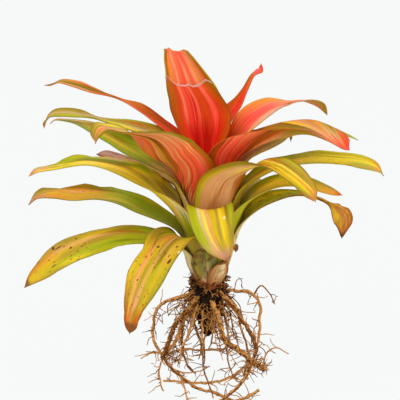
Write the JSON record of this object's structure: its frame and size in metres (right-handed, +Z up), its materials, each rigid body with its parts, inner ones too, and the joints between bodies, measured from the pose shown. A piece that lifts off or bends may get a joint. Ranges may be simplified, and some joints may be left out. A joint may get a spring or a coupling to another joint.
{
  "type": "neoregelia plant",
  "caption": "Bare-rooted neoregelia bromeliad: a funnel of strap leaves, red at the heart and green outside, on a short stem with a cage of wiry roots and peat.",
  "frame": {"origin": "flat underside of the root that crosses below the stem's axis, on the surface that the plant stands on", "axes": "+Z up along the stem, +X to the right and +Y away from the front, where a leaf folds down over the funnel"},
  "size_m": [0.3205, 0.2224, 0.3169],
  "materials": {
    "red_leaf": "satin leaf skin, red with pink streaks and a bronze edge",
    "orange_leaf": "satin leaf skin, salmon orange with fine streaks and an olive edge",
    "yellow_leaf": "satin leaf skin, yellow bands between green lines, brown dots",
    "green_leaf": "satin leaf skin, yellow green with fine long veins",
    "dry_leaf": "dull papery brown",
    "root": "dull tan bark, darker in the creases",
    "peat": "dark crumbly peat"
  },
  "bodies": {
    "root": {"leaf_01_low_left": "green_leaf", "leaf_02_low_right": "green_leaf", "leaf_03_low_back": "green_leaf", "leaf_04_hanging_left": "yellow_leaf", "leaf_05_right_back": "green_leaf", "leaf_06_back_low": "green_leaf", "leaf_07_left": "green_leaf", "leaf_08_folded_front": "yellow_leaf", "leaf_09_back_right_low": "green_leaf", "leaf_10_left_front": "yellow_leaf", "leaf_11_right": "green_leaf", "leaf_12_back_middle": "green_leaf", "leaf_13_dry_tip_back": "dry_leaf", "leaf_14_front_right": "yellow_leaf", "leaf_15_back_right": "green_leaf", "leaf_16_left_broad": "orange_leaf", "leaf_17_right_hidden": "green_leaf", "leaf_18_back_upper": "green_leaf", "leaf_19_left_upper": "green_leaf", "leaf_20_right_channelled": "orange_leaf", "leaf_21_left_olive": "green_leaf", "leaf_22_right_upper": "orange_leaf", "leaf_23_thin_left": "orange_leaf", "leaf_24_thin_right": "red_leaf", "leaf_25_heart_back": "orange_leaf", "leaf_26_heart_front": "red_leaf", "old_sheath_front": "green_leaf", "dry_sheath_right": "dry_leaf", "papery_sheath_front": "dry_leaf", "stem_and_roots": "root", "peat": "peat"}
  },
  "joints": []
}
